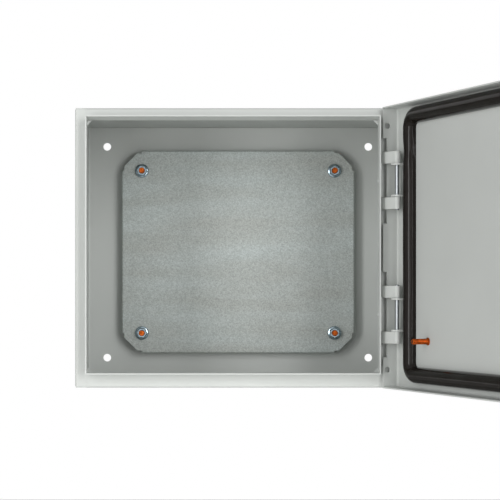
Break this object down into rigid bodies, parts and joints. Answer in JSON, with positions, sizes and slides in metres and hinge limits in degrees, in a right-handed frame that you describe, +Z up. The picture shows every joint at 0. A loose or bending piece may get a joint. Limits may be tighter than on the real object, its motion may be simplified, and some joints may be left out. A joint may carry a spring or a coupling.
{
  "type": "steel wall enclosure",
  "caption": "Wall-mounted sheet-steel enclosure with a sealing lip, a mounting plate on weld studs and a gasketed door on strap hinges that swings open and locks with a turning cam",
  "frame": {"origin": "centre of the four wall-fixing holes, on the outside of the back wall", "axes": "X points right seen from the front, Z points up, and the front of the body faces -Y"},
  "size_m": [0.3909, 0.4624, 0.25],
  "materials": {
    "shell_paint": "light grey powder coat with a fine texture and a low gloss",
    "galvanised": "hot-dip galvanised sheet with a fine cloudy spangle",
    "zinc_plated": "bright zinc plate",
    "copper_plated": "copper flash on weld studs",
    "seal_foam": "foamed-in-place black polyurethane with a skin"
  },
  "bodies": {
    "enclosure": {"body_wrap": "shell_paint", "top_panel": "shell_paint", "bottom_panel": "shell_paint", "corner_gussets": "shell_paint", "plate_studs": "copper_plated", "mounting_plate": "galvanised", "plate_nuts": "zinc_plated", "hinge_leaf_upper": "shell_paint", "hinge_leaf_lower": "shell_paint", "hinge_rivets": "zinc_plated", "hinge_pin_upper": "zinc_plated", "hinge_pin_lower": "zinc_plated"},
    "door": {"door_panel": "shell_paint", "door_gasket": "seal_foam", "hinge_bracket_upper": "shell_paint", "hinge_bracket_lower": "shell_paint", "door_earth_stud": "copper_plated", "lock_housing": "zinc_plated", "lock_seal": "seal_foam", "lock_nut": "zinc_plated"},
    "lock": {"lock_insert": "zinc_plated", "lock_cam": "zinc_plated", "cam_screw": "zinc_plated"}
  },
  "joints": [
    {"name": "door_hinge", "type": "hinge", "parent": "enclosure", "child": "door", "pos_m": [0.1358, -0.1913, 0], "axis": [0, 0, 1], "range_deg": [-110, 8]},
    {"name": "lock_turn", "type": "hinge", "parent": "door", "child": "lock", "pos_m": [0.22124, -0.42604, 0], "axis": [-0.9397, -0.342, 0], "range_deg": [0, 90]}
  ]
}
